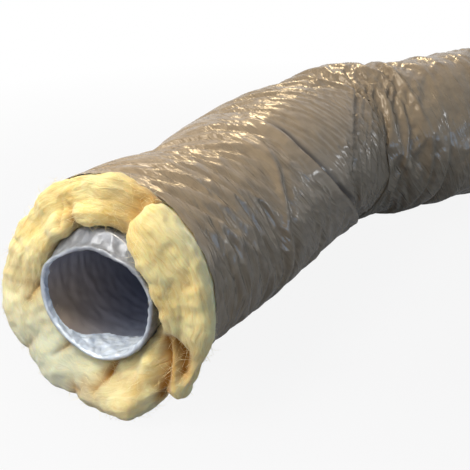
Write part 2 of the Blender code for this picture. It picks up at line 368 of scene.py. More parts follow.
foil_rows = FOIL_LENGTHWISE + 2 * (CUFF_ROWS + TURN_ROWS)
foil_mesh, share_round, share_along = rolled_sheet("core_outer_ply", FOIL_ROUND, foil_rows)
foil_angle = 2 * math.pi * share_round - math.pi / 2
row = share_along * foil_rows
from_back = row.max() - row
rear_half = from_back < row
from_end = np.minimum(row, from_back)
end_angle = np.where(rear_half, CORE_REAR_TURN - foil_angle, foil_angle)
cuff = CUFF_DEPTH(end_angle)
in_cuff = np.clip(1 - from_end / CUFF_ROWS, 0, 1)
in_turn = np.clip((from_end - CUFF_ROWS) / TURN_ROWS, 0, 1)
outside = np.clip((from_end - CUFF_ROWS - TURN_ROWS) / (FOIL_LENGTHWISE / 2), 0, 1)
turned = math.pi * in_turn
edge_depth = cuff * in_cuff - TURN_RADIUS * np.sin(turned)
edge_depth += outside * (jacket_length / 2 + CORE_OVERHANG)
foil_along = edge_depth - CORE_OVERHANG
foil_along = np.where(rear_half, jacket_length - foil_along, foil_along)
lifted = TURN_RADIUS * (1 + np.cos(turned))
foil_radius = FOIL_RADIUS - lifted - collar(foil_along, foil_angle)
ridge = swell(wire_distance(foil_along, foil_angle), RIDGE_WIDTH)
foil_radius -= FOIL_SAG * (1 - ridge) * (outside > 0)
plain = on_duct(foil_along, foil_angle, foil_radius)
crinkle = np.abs(crumple(plain, 0.012, 0.005, 0.6, seed=3))
inside = np.where(outside > 0, 0.0, 1 - in_turn)
foil_radius -= CUFF_CRINKLE * crinkle * inside - FOIL_CRINKLE * crinkle * (1 - inside)
set_points(foil_mesh, on_duct(foil_along, foil_angle, foil_radius))
# The turned-in share carries the painted light of the cuff.
mark(foil_mesh, "turned_in_painted_light", inside * CUFF_PAINTED_LIGHT(end_angle))
close_seam(foil_mesh)

foil_film, tree, shader = new_finish("foil_film")
coords = add_node(tree, "TexCoord")
creases = add_node(
    tree, "TexVoronoi", {"feature": "SMOOTH_F1"}, Vector=coords.outputs["Object"], Scale=75.0,
    Smoothness=0.4,
)
wrinkles = add_node(tree, "TexNoise", Vector=coords.outputs["Object"], Scale=110.0, Detail=4.0)
dull = ramp(tree, wrinkles.outputs["Fac"], [(0.3, (0.21, 0.222, 0.245)), (0.7, (0.32, 0.335, 0.365))])
painted_lit_cuff = ramp(tree, wrinkles.outputs["Fac"], [(0.3, (0.72, 0.82, 0.95)), (0.7, (0.88, 0.95, 1.0))])
tint = blend_colours(tree, marked(tree, "turned_in_painted_light"), dull, painted_lit_cuff)
fine = bumped(tree, wrinkles.outputs["Fac"], 0.4, 0.003)
bump = bumped(tree, creases.outputs["Distance"], 0.45, 0.008, fine)
set_inputs(tree, shader, Base_Color=tint, Metallic=0.30, Roughness=0.44, Normal=bump)
fit_piece("outer_ply", foil_mesh, foil_film, "core_outer_ply")

# Glass wool blanket: one soft mat of pale yellow fibre, wrapped once round the core and butted
# along a joint at one o'clock. Where the jacket ends it springs out in pillowy lobes, folded and
# torn where it was cut, and further out at the bottom where it lies on the floor.
WOOL_JOINT = math.radians(57)
WOOL_INNER_RADIUS = 0.0672
WOOL_MIDDLE_RADIUS = 0.095
WOOL_REACH = round_duct([
    (52, 0.033), (20, 0.031), (-8, 0.029), (-28, 0.027), (-40, 0.036), (-63, 0.046), (-80, 0.051),
    (-97, 0.048), (-115, 0.042), (-140, 0.039), (-160, 0.036), (175, 0.028), (150, 0.018),
    (118, 0.016), (90, 0.017), (62, 0.015),
], 5)
WOOL_SWELL = round_duct([
    (50, 0.121), (20, 0.120), (-10, 0.121), (-40, 0.127), (-80, 0.128), (-110, 0.129), (-150, 0.131),
    (-172, 0.130), (179, 0.124), (168, 0.116), (157, 0.116), (141, 0.112), (127, 0.114), (105, 0.116),
    (80, 0.120), (60, 0.119),
])
WOOL_HUG = round_duct([
    (58, 0.071), (30, 0.069), (5, 0.070), (-18, 0.075), (-45, 0.071), (-90, 0.070), (180, 0.069),
    (110, 0.068), (70, 0.069),
])
WOOL_INNER_REACH = round_duct([
    (58, 0.036), (30, 0.043), (10, 0.042), (-12, 0.034), (-35, 0.025), (-90, 0.030),
    (-140, 0.028), (180, 0.028), (125, 0.030), (110, 0.029), (90, 0.026), (66, 0.017),
], 5)
FOLDS = [
    (0.0050, [(111, 66, 13), (112, 78, 11), (113, 88, 7), (117, 99, 2)]),
    (0.0030, [(123, 76, 5), (121, 86, 5), (119, 97, 2)]),
    (0.0055, [(-175, 72, 9), (-172, 80, 9), (-164, 91, 6)]),
    (0.0040, [(-122, 72, 8), (-122, 80, 7), (-125, 95, 2)]),
    (0.0045, [(-80, 72, 8), (-84, 84, 8), (-91, 104, 3)]),
    (0.0060, [(-22, 80, 11), (-33, 93, 12), (-46, 112, 12), (-50, 122, 9)]),
    (0.0060, [(-20, 92, 10), (-25, 103, 15), (-33, 114, 13)]),
    (0.0040, [(-49, 116, 9), (-52, 136, 12)]),
    (0.0060, [(-141, 98, 2), (-138, 128, 5)]),
    (0.0060, [(-107, 100, 2), (-104, 130, 5)]),
    (0.0050, [(162, 108, 2), (160, 130, 4)]),
]
RIDGES = [
    (0.0100, [(-24, 74, 6), (-46, 86, 11), (-64, 106, 9)]),
    (0.0050, [(-24, 90, 4), (-36, 106, 7), (-45, 126, 6)]),
    (0.0090, [(126, 72, 3), (128, 96, 4), (134, 112, 2)]),
    (0.0120, [(-96, 90, 4), (-70, 118, 5)]),
]
DEEPEST_FOLD = 0.018
LUMP_HEIGHT = 0.0048
STREAK_HEIGHT = 0.0009
JOINT_ROUNDING = 0.014
JOINT_SQUARENESS = 2.6
JOINT_RADIUS = 0.103
JOINT_LEAN = math.radians(8)
JOINT_LEAN_WIDTH = 0.05
JOINT_LEAN_DEPTH = 0.03
WOOL_REAR_TURN = 1.9
WOOL_COLUMNS = 420
WOOL_FACE_ROWS = 84
WOOL_SIDE_ROWS = 20
WOOL_EDGE_GAP = 0.0015
WOOL_UNDER_JACKET = 0.022
WOOL_BURIED_RUN = 0.05
WOOL_OFF_FLOOR = 0.0005
KINK_ROOM = 0.024
KINK_ROOM_PLACE = 0.09
KINK_ROOM_SPREAD = 0.13
KINK_ROOM_ANGLE = 0.5
WOOL_FACE_EASE = 0.12
FULL_SHADE_FOLD_DEPTH = 0.010
UNDER_LOBE_SHADE = 0.8
UNDER_LOBE_WIDTH = 0.036
GREYING_AT = -125
GREYING_ROUND = 0.8
GREYING_SHARE = 0.85


def bend_through(points, rows):
    """Rows along a soft curve that a few points pull on (a clamped cubic B-spline)."""
    count = len(points)
    knots = np.concatenate([[0] * 3, np.linspace(0, 1, count - 2), [1] * 3])
    share = np.clip(rows, 0, 1 - 1e-9)
    pull = [(knots[i] <= share) & (share < knots[i + 1]) for i in range(count + 3)]
    pull = [part.astype(float) for part in pull]
    for degree in (1, 2, 3):
        for i in range(count + 3 - degree):
            left = knots[i + degree] - knots[i]
            right = knots[i + degree + 1] - knots[i + 1]
            rise = (share - knots[i]) / left * pull[i] if left else 0.0
            fall = (knots[i + degree + 1] - share) / right * pull[i + 1] if right else 0.0
            pull[i] = rise + fall
    return sum(part * point for part, point in zip(pull, points))


def along_lines(across, up, lines, sharp):
    """Height of folds or ridges at places on the wool's face, each a line of (angle, mm, mm) stops."""
    total = np.zeros_like(across)
    for width, stops in lines:
        degrees, radii, heights = np.array(stops, float).T
        line_across = radii * np.cos(np.radians(degrees)) / 1000
        line_up = radii * np.sin(np.radians(degrees)) / 1000
        most = np.zeros_like(across)
        for i in range(len(stops) - 1):
            step_across = line_across[i + 1] - line_across[i]
            step_up = line_up[i + 1] - line_up[i]
            ahead = (across - line_across[i]) * step_across + (up - line_up[i]) * step_up
            share = np.clip(ahead / (step_across**2 + step_up**2), 0, 1)
            gap = np.hypot(across - line_across[i] - share * step_across, up - line_up[i] - share * step_up)
            height = (heights[i] + share * (heights[i + 1] - heights[i])) / 1000
            shape = np.exp(-gap / width) if sharp else swell(gap, width)
            most = np.maximum(most, height * shape)
        total += most
    return total


# Shape that the sleeve takes and the wool under it follows, with lengths from the jacket's front edge
JACKET_RADIUS = 0.1148
DENT_PLACE = 0.150
DENT_DEPTH = 0.008
DENT_SPREAD = 0.055
CREASE_LINE = round_duct([
    (100, 0.560), (66, 0.518), (48, 0.445), (30, 0.385), (14, 0.360), (-6, 0.362), (-24, 0.400),
    (-57, 0.520), (-100, 0.560), (180, 0.600),
])
CREASE_STRENGTH = round_duct([
    (-90, 0.0), (-60, 0.2), (-40, 0.7), (-15, 1.0), (60, 1.0), (85, 0.3), (110, 0.0), (-140, 0.0),
])
CREASE_RISE = 0.0050
CREASE_RISE_RUN = 0.035
CREASE_DROP = 0.0085
CREASE_DROP_RUN = 0.008
CREASE_FADE_RUN = 0.045
BUCKLE_LINE = round_duct([
    (70, 0.225), (55, 0.211), (41, 0.198), (31, 0.188), (11, 0.178), (-11, 0.186), (-45, 0.200),
])
BUCKLE_STRENGTH = round_duct([
    (80, 0.0), (55, 0.8), (30, 1.0), (-10, 1.0), (-40, 0.3), (-70, 0.0), (180, 0.0),
])
BUCKLE_HEIGHT = 0.0045
BUCKLE_WIDTH = 0.009
BUCKLE_HOLLOW_PLACE = 0.013
BUCKLE_HOLLOW_WIDTH = 0.008
TIGHT_PLEATS = 5
TIGHT_PLEAT_START = 0.016
TIGHT_PLEAT_STEP = 0.0125
TIGHT_PLEAT_HEIGHT = 0.0024
TIGHT_PLEAT_WIDTH = 0.0035
CORNER_PULL = 0.008
CORNER_PLACE = 0.47
CORNER_SPREAD = 0.05
CORNER_AT = -45
CORNER_ROUND = 0.55
FAR_PLEATS = 5
FAR_PLEAT_STEP = 0.078
FAR_PLEAT_HEIGHT = 0.0044
FAR_PLEAT_WIDTH = 0.012
FAR_HOLLOW_PLACE = 0.024
FAR_HOLLOW_WIDTH = 0.016
FAR_TUCKS = 9
FAR_TUCK_START = 0.030
FAR_TUCK_STEP = 0.041
FAR_TUCK_HEIGHT = 0.0034
FAR_TUCK_RISE_RUN = 0.012
FAR_TUCK_DROP_RUN = 0.005


def sleeve_height(along, angle):
    """How far the sleeve stands out from its plain radius, without its folded lip."""
    top = 0.5 + 0.5 * np.sin(angle)
    height = -DENT_DEPTH * top * swell(along - DENT_PLACE, DENT_SPREAD)
    past_buckle = along - BUCKLE_LINE(angle)
    buckle = BUCKLE_HEIGHT * swell(past_buckle, BUCKLE_WIDTH)
    buckle -= BUCKLE_HEIGHT * swell(past_buckle - BUCKLE_HOLLOW_PLACE, BUCKLE_HOLLOW_WIDTH)
    height += BUCKLE_STRENGTH(angle) * buckle
    past_crease = along - CREASE_LINE(angle)
    crease = CREASE_RISE * np.exp(np.minimum(past_crease, 0) / CREASE_RISE_RUN)
    faded = np.exp(-np.maximum(past_crease - CREASE_DROP_RUN, 0) / CREASE_FADE_RUN)
    crease -= CREASE_DROP * smooth_step(past_crease / CREASE_DROP_RUN) * faded
    crease -= CREASE_RISE * (1 - np.exp(-np.maximum(past_crease, 0) / CREASE_FADE_RUN))
    for pleat in range(TIGHT_PLEATS):
        wander = 0.0035 * np.sin(2 * angle + 1.7 * pleat) + 0.002 * np.sin(5 * angle + 2.9 * pleat)
        past = past_crease - TIGHT_PLEAT_START - TIGHT_PLEAT_STEP * pleat - wander
        share = 0.7 + 0.3 * np.sin(3 * angle + 2.2 * pleat)
        crease += TIGHT_PLEAT_HEIGHT * share * swell(past, TIGHT_PLEAT_WIDTH)
    height += CREASE_STRENGTH(angle) * crease
    at_corner = swell(turn_from(angle, CORNER_AT), CORNER_ROUND)
    height -= CORNER_PULL * swell(along - CORNER_PLACE, CORNER_SPREAD) * at_corner
    for pleat in range(FAR_PLEATS):
        ridge = bend_end + FAR_PLEAT_STEP * pleat + 0.010 * np.sin(angle + 1.9 * pleat)
        ridge = ridge + 0.006 * np.sin(2 * angle + 2.7 * pleat)
        share = (0.65 + 0.35 * np.sin(angle + 0.6 + 2.1 * pleat)) * min(1.0, 0.5 + 0.5 * pleat)
        past = along - ridge
        pleated = 0.5 * swell(past, FAR_PLEAT_WIDTH)
        pleated -= 0.8 * swell(past - FAR_HOLLOW_PLACE, FAR_HOLLOW_WIDTH)
        height += FAR_PLEAT_HEIGHT * share * pleated
    for tuck in range(FAR_TUCKS):
        edge_line = bend_end + FAR_TUCK_START + FAR_TUCK_STEP * tuck + 0.007 * np.sin(2 * angle + 2.3 * tuck)
        past = along - edge_line - 0.004 * np.sin(3 * angle + 1.1 * tuck)
        share = np.clip(0.55 + 0.6 * np.sin(angle + 1.3 * tuck), 0, 1)
        rise = np.exp(np.minimum(past, 0) / FAR_TUCK_RISE_RUN)
        height += FAR_TUCK_HEIGHT * share * rise * (1 - smooth_step(past / FAR_TUCK_DROP_RUN))
    return height


loop_rows = 2 * (WOOL_FACE_ROWS + WOOL_SIDE_ROWS)
wool_mesh, share_round, share_loop = rolled_sheet("wool_blanket", WOOL_COLUMNS, loop_rows)
wool_angle = WOOL_JOINT - 2 * math.pi * share_round
lobe_end = share_round * 2 * math.pi * WOOL_MIDDLE_RADIUS
tail_end = (1 - share_round) * 2 * math.pi * WOOL_MIDDLE_RADIUS
from_joint = np.clip(np.minimum(lobe_end, tail_end) / JOINT_ROUNDING, 0, 1)
fullness = (1 - (1 - from_joint) ** JOINT_SQUARENESS) ** (1 / JOINT_SQUARENESS)
row = share_loop * loop_rows
front_row = row / WOOL_FACE_ROWS
inner_share = (row - WOOL_FACE_ROWS) / WOOL_SIDE_ROWS
rear_row = (row - WOOL_FACE_ROWS - WOOL_SIDE_ROWS) / WOOL_FACE_ROWS
outer_share = (row - 2 * WOOL_FACE_ROWS - WOOL_SIDE_ROWS) / WOOL_SIDE_ROWS
on_front = front_row <= 1
on_inner = (inner_share > 0) & (inner_share < 1)
on_rear = (rear_row >= 0) & (rear_row <= 1)
end_angle = np.where(on_rear, WOOL_REAR_TURN - wool_angle, wool_angle)
reach = WOOL_REACH(end_angle)
inner_reach = WOOL_INNER_REACH(end_angle)
swollen = WOOL_SWELL(end_angle)
hugged = WOOL_HUG(end_angle)
jacket_edge = JACKET_RADIUS - WOOL_EDGE_GAP
face_share = np.where(on_rear, 1 - rear_row, front_row)
face_radius = bend_through([
    jacket_edge, jacket_edge, swollen, swollen + 0.001, swollen - 0.008, swollen - 0.026,
    hugged + 0.018, hugged + 0.003, hugged - 0.001, WOOL_INNER_RADIUS, WOOL_INNER_RADIUS,
], face_share)
face_out = bend_through([
    0 * reach, 0.004 + 0 * reach, 0.30 * reach, 0.85 * reach, 1.08 * reach, 1.06 * reach,
    0.3 * reach + 0.8 * inner_reach, 1.05 * inner_reach, 0.85 * inner_reach, 0.4 * inner_reach, 0 * reach,
], face_share)
# Between the ends the rows are few, and they crowd where the wool comes into sight
side_share = np.where(on_inner, inner_share, 1 - outer_share)
side_along = jacket_length * (side_share - 0.9 * np.sin(2 * math.pi * side_share) / (2 * math.pi))
buried = smooth_step(np.minimum(side_along, jacket_length - side_along) / WOOL_BURIED_RUN)
outer_side = JACKET_RADIUS + sleeve_height(side_along, wool_angle) * buried
outer_side -= WOOL_EDGE_GAP + (WOOL_UNDER_JACKET - WOOL_EDGE_GAP) * buried
in_kink = swell(side_along - bend_start - KINK_ROOM_PLACE, KINK_ROOM_SPREAD)
outer_side -= KINK_ROOM * in_kink * smooth_step(1.2 * np.cos(wool_angle - KINK_ROOM_ANGLE))
on_face = on_front | on_rear
wool_radius = np.where(on_face, face_radius, np.where(on_inner, WOOL_INNER_RADIUS, outer_side))
wool_along = np.where(on_face, np.where(on_rear, jacket_length + face_out, -face_out), side_along)
wool_radius = JOINT_RADIUS + (wool_radius - JOINT_RADIUS) * fullness
wool_along = np.where(on_front, wool_along * (0.55 + 0.45 * fullness), wool_along)
leaning = np.clip(1 - lobe_end / JOINT_LEAN_WIDTH, 0, 1)
wool_angle = wool_angle + JOINT_LEAN * leaning * smooth_step(-wool_along / JOINT_LEAN_DEPTH)
points = on_duct(wool_along, wool_angle, wool_radius)
set_points(wool_mesh, points)

normals = np.empty(len(wool_mesh.vertices) * 3)
wool_mesh.vertex_normals.foreach_get("vector", normals)
normals = normals.reshape(-1, 3)
normals *= np.sign(np.median(-normals[on_front, 1]))
face_across = wool_radius * np.cos(end_angle)
face_up = wool_radius * np.sin(end_angle)
fold_depth = along_lines(face_across, face_up, FOLDS, True)
fold_depth = DEEPEST_FOLD * np.tanh(fold_depth / DEEPEST_FOLD)
fold_height = along_lines(face_across, face_up, RIDGES, False)
lumps = crumple(points, 0.045, 0.020, 0.5, seed=7)
lumps += 0.28 * ruffle(points, 0.009, seed=15)
loop_place = np.stack([share_round * 0.6, face_share * 0.11, on_rear * 1.0], -1)
streaks = crumple(loop_place, (0.045, 0.0065, 1.0), (0.020, 0.003, 1.0), 0.5, seed=9)
shown = on_face * smooth_step(np.minimum(face_share, 1 - face_share) / WOOL_FACE_EASE)
shown = shown * smooth_step(fullness * 1.4)
lift = (fold_height - fold_depth + LUMP_HEIGHT * lumps + STREAK_HEIGHT * streaks) * shown
points += normals * lift[:, None]
points[:, 2] = np.maximum(points[:, 2], WOOL_OFF_FLOOR)
set_points(wool_mesh, points)
# Painted shade: brown is painted into the folds, into the hollows between lumps and under the end of the top
# lobe at the joint, where shade falls.
under_lobe_shade = UNDER_LOBE_SHADE * swell(tail_end, UNDER_LOBE_WIDTH) * on_front
hollow_shade = np.clip(-0.10 - lumps, 0, 1) * 0.6
mark(wool_mesh, "painted_fold_shade", np.clip((fold_depth / FULL_SHADE_FOLD_DEPTH + under_lobe_shade + hollow_shade) * shown, 0, 1))
# The wool's ends are tinted greyer and cooler towards the lower left.
mark(wool_mesh, "greyed_low_left", GREYING_SHARE * swell(turn_from(end_angle, GREYING_AT), GREYING_ROUND) * on_face)
close_seam(wool_mesh)

glass_wool, tree, shader = new_finish("glass_wool")
coords = add_node(tree, "TexCoord")
metres = add_node(tree, "Mapping", Vector=coords.outputs["UV"], Scale=(0.60, 0.30, 1.0))
swirl = add_node(tree, "TexNoise", Vector=coords.outputs["Object"], Scale=24.0, Detail=2.0)
wander = add_node(tree, "VectorMath", {"operation": "MULTIPLY_ADD"})
tree.links.new(swirl.outputs["Color"], wander.inputs[0])
wander.inputs[1].default_value = (0.020, 0.024, 0.0)
tree.links.new(metres.outputs["Vector"], wander.inputs[2])
stretched = add_node(tree, "Mapping", Vector=wander.outputs["Vector"], Scale=(30.0, 140.0, 1.0))
fibre = add_node(
    tree, "TexNoise", Vector=stretched.outputs["Vector"], Scale=1.0, Detail=7.0, Roughness=0.62,
    Distortion=2.2,
)
patches = add_node(tree, "TexNoise", Vector=coords.outputs["Object"], Scale=26.0, Detail=4.0)
fine = add_node(tree, "TexNoise", Vector=metres.outputs["Vector"], Scale=700.0, Detail=3.0)
tint = ramp(tree, fibre.outputs["Fac"], [
    (0.30, (0.76, 0.50, 0.13)), (0.5, (0.92, 0.75, 0.34)), (0.70, (0.98, 0.89, 0.45)),
])
pale = ramp(tree, patches.outputs["Fac"], [(0.35, (0.84, 0.60, 0.19)), (0.65, (0.98, 0.90, 0.48))])
mottled = blend_colours(tree, 0.5, tint, pale)
greyed = blend_colours(tree, marked(tree, "greyed_low_left"), mottled, (0.68, 0.73, 0.57, 1))
# The brown mixed in here is painted shade in the folds and hollows.
fold_shade_share = ramp(tree, marked(tree, "painted_fold_shade"), [(0.08, (0, 0, 0)), (0.95, (1, 1, 1))])
fold_shaded = blend_colours(tree, fold_shade_share, greyed, (0.42, 0.20, 0.035, 1))
bump = bumped(tree, fibre.outputs["Fac"], 0.45, 0.004)
fuzz = bumped(tree, fine.outputs["Fac"], 0.25, 0.0015, bump)
set_inputs(tree, shader, Base_Color=fold_shaded, Roughness=0.95, Normal=fuzz)
set_inputs(tree, shader, Subsurface_Weight=0.3, Subsurface_Radius=(1.0, 0.6, 0.2), Subsurface_Scale=0.007)
set_inputs(tree, shader, Specular_IOR_Level=0.1, Sheen_Weight=0.25, Sheen_Roughness=0.5)
wool = fit_piece("wool_blanket_lobes", wool_mesh, glass_wool, "wool_blanket")

# Loose fibres of the blanket: strands of the same spun glass, pulled out of the mat where it was
# cut and torn, and still held in it by one end.
FIBRES = 5600
FIBRE_WIDTH = 0.00026
FIBRE_TAPER = 0.7
FIBRE_LENGTHS = (0.005, 0.016)
FIBRE_RISES = (0.10, 0.50)
FIBRE_CURLS = (-0.35, 0.35)
FIBRE_SCATTER = 0.75
FIBRE_ROOT_DEPTH = 0.0006
FIBRE_OFF_FLOOR = 0.0006
FIBRE_STEPS = 4

chance = np.random.default_rng(21)
roots = chance.choice(np.flatnonzero(shown > 0.4), FIBRES)
ahead = on_duct(wool_along, wool_angle + 0.01, wool_radius) - on_duct(wool_along, wool_angle, wool_radius)
ahead = ahead[roots] / np.linalg.norm(ahead[roots], axis=1, keepdims=True)
ahead = ahead * chance.choice([-1.0, 1.0], (FIBRES, 1)) + FIBRE_SCATTER * chance.normal(size=(FIBRES, 3))
upright = normals[roots]
ahead -= upright * np.sum(ahead * upright, axis=1, keepdims=True)
ahead /= np.linalg.norm(ahead, axis=1, keepdims=True)
aside = np.cross(ahead, upright)
fibre_length = chance.uniform(*FIBRE_LENGTHS, (FIBRES, 1))
rise = chance.uniform(*FIBRE_RISES, (FIBRES, 1))
curl = chance.uniform(*FIBRE_CURLS, (FIBRES, 1))
ribbon = []
for step in range(FIBRE_STEPS + 1):
    share = step / FIBRE_STEPS
    place = points[roots] - FIBRE_ROOT_DEPTH * upright + fibre_length * share * ahead
    place = place + fibre_length * (rise * (share - 0.5 * share**2) * upright + curl * share**2 * aside)
    half = 0.5 * FIBRE_WIDTH * (1 - FIBRE_TAPER * share) * aside
    ribbon += [place - half, place + half]
ribbon = np.stack(ribbon, 1)
ribbon[..., 2] = np.maximum(ribbon[..., 2], FIBRE_OFF_FLOOR)
first = np.arange(FIBRES)[:, None] * 2 * (FIBRE_STEPS + 1) + 2 * np.arange(FIBRE_STEPS)[None, :]
squares = np.stack([first, first + 1, first + 3, first + 2], -1).reshape(-1, 4)
fibre_mesh = bpy.data.meshes.new("wool_fibres")
fibre_mesh.from_pydata(ribbon.reshape(-1, 3).tolist(), [], squares.tolist())
fibre_mesh.shade_smooth()
loose_fibre, tree, shader = new_finish("loose_fibre")
coords = add_node(tree, "TexCoord")
shades = add_node(tree, "TexNoise", Vector=coords.outputs["Object"], Scale=60.0, Detail=2.0)
tint = ramp(tree, shades.outputs["Fac"], [(0.3, (0.90, 0.72, 0.32)), (0.65, (0.98, 0.91, 0.53))])
set_inputs(tree, shader, Base_Color=tint, Roughness=0.8, Specular_IOR_Level=0.2)
fit_piece("wool_fibres", fibre_mesh, loose_fibre, "wool_blanket")

# Jacket: a thin sleeve of shiny grey-taupe metallised film, cut longer than the duct and pushed
# back over the wool, so that its spare length stands in wrinkles. The kink folds it over itself.
JACKET_SPARE = 0.05
JACKET_TWIST = 0.05
TWIST_RUN = 0.42
JACKET_ROUND = 200
ROWS_TO_LIP = 112
ROWS_AFTER_LIP = 205

# Lip at the kink: its line and strength by angle in degrees, and its section in steps along and out
LIP_LINE = round_duct([
    (101, 0.288), (83, 0.268), (65, 0.264), (47, 0.263), (29, 0.279), (11, 0.306), (-12, 0.363),
    (-35, 0.430), (-57, 0.505), (-90, 0.500), (-140, 0.420), (180, 0.350), (130, 0.320),
])
LIP_STRENGTH = round_duct([
    (-75, 0.0), (-55, 0.4), (-35, 0.9), (-10, 1.0), (68, 1.0), (84, 0.4), (100, 0.06), (112, 0.0),
    (-150, 0.0),
])
LIP_FOLD = [
    (-0.020, 0.0014), (-0.010, 0.0030), (-0.003, 0.0041), (0.0006, 0.0038), (0.0013, 0.0028),
    (-0.004, 0.0016), (-0.009, 0.0000), (-0.0095, -0.0022), (-0.004, -0.0042), (0.005, -0.0046),
    (0.014, -0.0030),
]
LIP_BLEND = 0.022

# Front edge, pulled in on one side and cut a little unevenly
EDGE_PULL = 0.006
EDGE_PULL_AT = -50
EDGE_PULL_ROUND = 0.5
EDGE_PULL_RUN = 0.09
EDGE_WOBBLE = 0.0034
FILM_OFF_FLOOR = 0.0008

# Start of the wrinkles, and how firmly each part of the film is held to its bed while it wrinkles
SEED_HEIGHT = 0.0006
SEED_STRETCH = 8
SEED_LEAN = 0.30
SEAM_MARGIN = 0.04
BUNCHING = 0.0014
PUSH_FRAMES = 12
SETTLE_FRAMES = 4
HOLD_PLAIN = 0.13
HOLD_PATCHY = 0.06
HOLD_PANEL = 0.26
HOLD_LIP = 0.30
HOLD_ENDS = 0.25
HOLD_CORNER = 0.20
HOLD_PLEATS = 0.16
HOLD_LIMITS = (0.06, 0.6)
HOLD_LIP_RUN = 0.02
HOLD_ENDS_RUN = 0.015
HOLD_CORNER_RUN = 0.06
HOLD_CORNER_AT = -40
HOLD_CORNER_ROUND = 0.5
HOLD_PLEATS_RUN = 0.05

# Taut panel behind the lip, the shadow painted in the slit under the lip, and how limp the film is elsewhere
PANEL_EASE = 0.02
SLIT_FROM = -20
SLIT_TO = 78
SLIT_PLACE = 0.015
SLIT_FADE = 0.005
SLIT_FIRST_ROW = 4
SLIT_SHADOW_PAINT = 0.9
LIMP_PLAIN = 0.75
LIMP_LESS_ON_PANEL = 0.62

fold_rows = len(LIP_FOLD)
jacket_rows = ROWS_TO_LIP + fold_rows + ROWS_AFTER_LIP
film_mesh, share_round, share_along = rolled_sheet("jacket", JACKET_ROUND, jacket_rows - 1)
film_angle = 2 * math.pi * share_round - math.pi / 2
row = np.round(share_along * (jacket_rows - 1)).astype(int)
lip_place = LIP_LINE(film_angle)
strength = LIP_STRENGTH(film_angle)
fold_row = np.clip(row - ROWS_TO_LIP, 0, fold_rows - 1)
plain_shift = np.linspace(LIP_FOLD[0][0], LIP_FOLD[-1][0], fold_rows)[fold_row]
fold_shift = np.array([shift for shift, height in LIP_FOLD])[fold_row]
fold_height = np.array([height for shift, height in LIP_FOLD])[fold_row]
fold_along = lip_place + fold_shift * strength + plain_shift * (1 - strength)
near_share = np.clip(row / ROWS_TO_LIP, 0, 1)
far_share = np.clip((row - ROWS_TO_LIP - fold_rows + 1) / ROWS_AFTER_LIP, 0, 1)
film_along = near_share * fold_along
film_along += far_share * (jacket_length - fold_along)
past_lip = film_along - lip_place
near_rise = LIP_FOLD[0][1] * swell(np.minimum(past_lip - LIP_FOLD[0][0], 0), LIP_BLEND)
panel_width = np.maximum(CREASE_LINE(film_angle) - lip_place - LIP_FOLD[-1][0], 0.03)
far_drop = LIP_FOLD[-1][1] * (1 - np.clip((past_lip - LIP_FOLD[-1][0]) / panel_width, 0, 1))
lip_height = np.where(row < ROWS_TO_LIP, near_rise, np.where(far_share > 0, far_drop, fold_height))
film_radius = JACKET_RADIUS + sleeve_height(film_along, film_angle) + lip_height * strength
pulled_in = swell(turn_from(film_angle, EDGE_PULL_AT), EDGE_PULL_ROUND)
film_radius -= EDGE_PULL * pulled_in * swell(film_along, EDGE_PULL_RUN)
round_edge = np.stack([np.cos(film_angle), np.sin(film_angle), film_angle * 0], -1)
edge_wobble = ruffle(round_edge, (0.16, 0.16, 1.0), seed=11)
edge_wobble = edge_wobble + 0.6 * ruffle(round_edge, (0.05, 0.05, 1.0), seed=14)
film_along += EDGE_WOBBLE * edge_wobble * (1 - near_share) ** 8
pushed = on_duct(film_along, film_angle, film_radius)
pushed[:, 2] = np.maximum(pushed[:, 2], FILM_OFF_FLOOR)

drawn_out = film_along * SEED_STRETCH
helix = np.stack([np.cos(film_angle), drawn_out + film_angle * SEED_LEAN, np.sin(film_angle)], -1)
seeds = crumple(helix, (0.50, 0.22, 0.50), (0.30, 0.09, 0.30), 0.8, seed=5)
seeds *= smooth_step(np.minimum(share_round, 1 - share_round) / SEAM_MARGIN)
twisted = film_angle + JACKET_TWIST * np.minimum(film_along, TWIST_RUN) / JACKET_RADIUS
ring = np.stack([np.cos(film_angle), drawn_out, np.sin(film_angle)], -1)
bunched = ruffle(ring, (0.55, 0.45, 0.55), seed=13)
cut = on_duct(film_along + BUNCHING * bunched, twisted, film_radius + SEED_HEIGHT * seeds, JACKET_SPARE)
set_points(film_mesh, cut)
close_seam(film_mesh)
left_after_seam = share_round < 1 - 0.5 / JACKET_ROUND


def wrinkle(mesh, pushed_points, hold):
    """Pushes the sleeve back to the duct's length and lets the film wrinkle over the soft wool."""
    sleeve = bpy.data.objects.new("sleeve", mesh)
    bpy.context.scene.collection.objects.link(sleeve)
    sleeve.shape_key_add(name="cut")
    push = sleeve.shape_key_add(name="pushed", from_mix=False)
    push.data.foreach_set("co", np.asarray(pushed_points, np.float32).ravel())
    push.value = 0
    push.keyframe_insert("value", frame=1)
    push.value = 1
    push.keyframe_insert("value", frame=PUSH_FRAMES)
    bed = sleeve.vertex_groups.new(name="bed")
    for level in np.unique(hold):
        bed.add(np.flatnonzero(hold == level).tolist(), float(level), "REPLACE")
    cloth = sleeve.modifiers.new("film", "CLOTH")
    film = cloth.settings
    film.quality = 4
    film.mass = 0.02
    film.tension_stiffness = 30
    film.compression_stiffness = 30
    film.shear_stiffness = 30
    film.bending_model = "ANGULAR"
    film.bending_stiffness = 4
    film.effector_weights.gravity = 0
    film.vertex_group_mass = "bed"
    cloth.collision_settings.use_collision = False
    cloth.point_cache.frame_end = PUSH_FRAMES + SETTLE_FRAMES
    for step in range(1, PUSH_FRAMES + SETTLE_FRAMES + 1):
        bpy.context.scene.frame_set(step)
    evaluated = sleeve.evaluated_get(bpy.context.evaluated_depsgraph_get())
    made = bpy.data.meshes.new_from_object(evaluated)
    bpy.data.objects.remove(sleeve)
    bpy.context.scene.frame_set(1)
    return made


